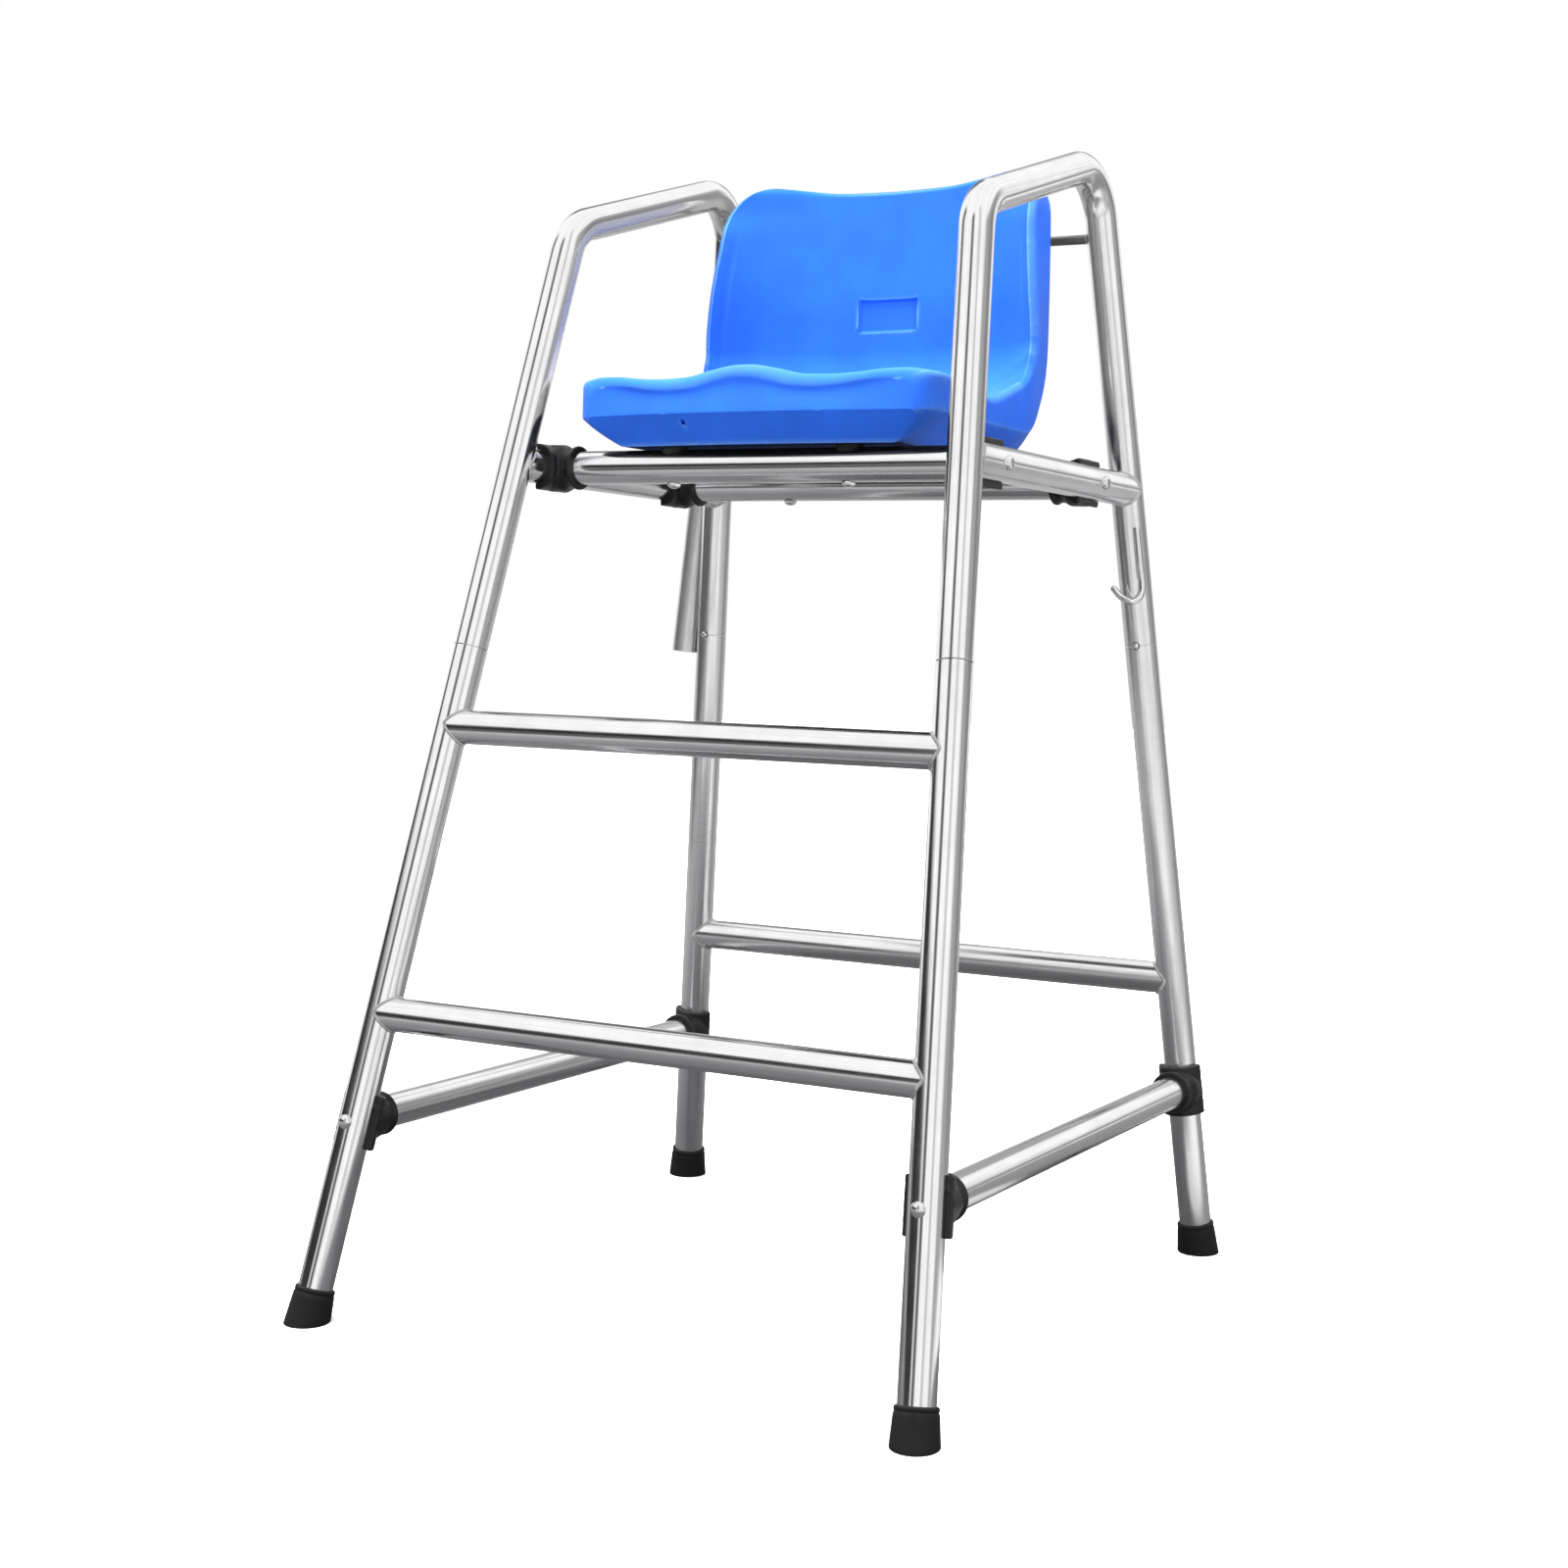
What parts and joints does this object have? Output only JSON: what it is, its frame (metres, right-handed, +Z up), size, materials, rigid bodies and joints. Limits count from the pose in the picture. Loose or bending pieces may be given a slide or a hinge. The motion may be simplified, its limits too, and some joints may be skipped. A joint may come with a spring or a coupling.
{
  "type": "lifeguard chair",
  "caption": "High lifeguard chair: blue moulded bucket seat on a splayed stainless tube frame with a ladder front, armrests and black saddle fittings.",
  "frame": {"origin": "centre of the footprint at floor level", "axes": "+Z up; the chair faces -Y; the sitter's left is +X"},
  "size_m": [0.782, 0.8445, 1.3038],
  "materials": {
    "stainless_tube": "polished",
    "bright_bolt": "polished",
    "spring_steel": "satin",
    "black_fitting": "satin",
    "rubber": "matte",
    "blue_shell": "satin"
  },
  "bodies": {
    "frame": {"side_frame_left": "stainless_tube", "side_frame_right": "stainless_tube", "seat_rail_left": "stainless_tube", "seat_rail_right": "stainless_tube", "lower_leg_front_left": "stainless_tube", "lower_leg_front_right": "stainless_tube", "lower_leg_rear_left": "stainless_tube", "lower_leg_rear_right": "stainless_tube", "leg_spigot_front_left": "bright_bolt", "leg_spigot_front_right": "bright_bolt", "leg_spigot_rear_left": "bright_bolt", "leg_spigot_rear_right": "bright_bolt", "button_spring_front_left": "spring_steel", "button_spring_front_right": "spring_steel", "button_spring_rear_left": "spring_steel", "button_spring_rear_right": "spring_steel", "rung_lower": "stainless_tube", "rung_upper": "stainless_tube", "rear_crossbar": "stainless_tube", "side_rail_left": "stainless_tube", "side_rail_right": "stainless_tube", "saddle_front_left": "black_fitting", "saddle_front_right": "black_fitting", "saddle_rear_left": "black_fitting", "saddle_rear_right": "black_fitting", "saddle_seat_front_left": "black_fitting", "saddle_seat_front_right": "black_fitting", "saddle_seat_rear_left": "black_fitting", "saddle_seat_rear_right": "black_fitting", "dome_bolt_front_left": "bright_bolt", "dome_bolt_front_right": "bright_bolt", "dome_bolt_rear_left": "bright_bolt", "dome_bolt_rear_right": "bright_bolt", "dome_bolt_seat_front_left": "bright_bolt", "dome_bolt_seat_front_right": "bright_bolt", "dome_bolt_seat_rear_left": "bright_bolt", "dome_bolt_seat_rear_right": "bright_bolt", "seat_tube_front": "stainless_tube", "seat_tube_rear": "stainless_tube", "seat_spacer_front_left": "rubber", "seat_spacer_front_right": "rubber", "seat_spacer_rear_left": "rubber", "seat_spacer_rear_right": "rubber", "seat_bolt_front_left": "bright_bolt", "seat_bolt_front_right": "bright_bolt", "seat_bolt_rear_left": "bright_bolt", "seat_bolt_rear_right": "bright_bolt", "seat_shell": "blue_shell", "tie_rod": "stainless_tube", "rubber_foot_front_left": "rubber", "rubber_foot_front_right": "rubber", "rubber_foot_rear_left": "rubber", "rubber_foot_rear_right": "rubber", "umbrella_holder": "stainless_tube", "bag_hook": "stainless_tube"},
    "button_front_left": {"spring_button_front_left": "bright_bolt"},
    "button_front_right": {"spring_button_front_right": "bright_bolt"},
    "button_rear_left": {"spring_button_rear_left": "bright_bolt"},
    "button_rear_right": {"spring_button_rear_right": "bright_bolt"}
  },
  "joints": [
    {"name": "press_front_left", "type": "slide", "parent": "frame", "child": "button_front_left", "axis": [0.0241, 0.9657, -0.2587], "range_m": [-0.0045, 0], "stiffness_N_per_m": 2500, "deforming": ["button_spring_front_left"]},
    {"name": "press_front_right", "type": "slide", "parent": "frame", "child": "button_front_right", "axis": [-0.0241, 0.9657, -0.2587], "range_m": [-0.0045, 0], "stiffness_N_per_m": 2500, "deforming": ["button_spring_front_right"]},
    {"name": "press_rear_left", "type": "slide", "parent": "frame", "child": "button_rear_left", "axis": [0.0088, -0.9955, -0.0941], "range_m": [-0.0045, 0], "stiffness_N_per_m": 2500, "deforming": ["button_spring_rear_left"]},
    {"name": "press_rear_right", "type": "slide", "parent": "frame", "child": "button_rear_right", "axis": [-0.0088, -0.9955, -0.0941], "range_m": [-0.0045, 0], "stiffness_N_per_m": 2500, "deforming": ["button_spring_rear_right"]}
  ]
}
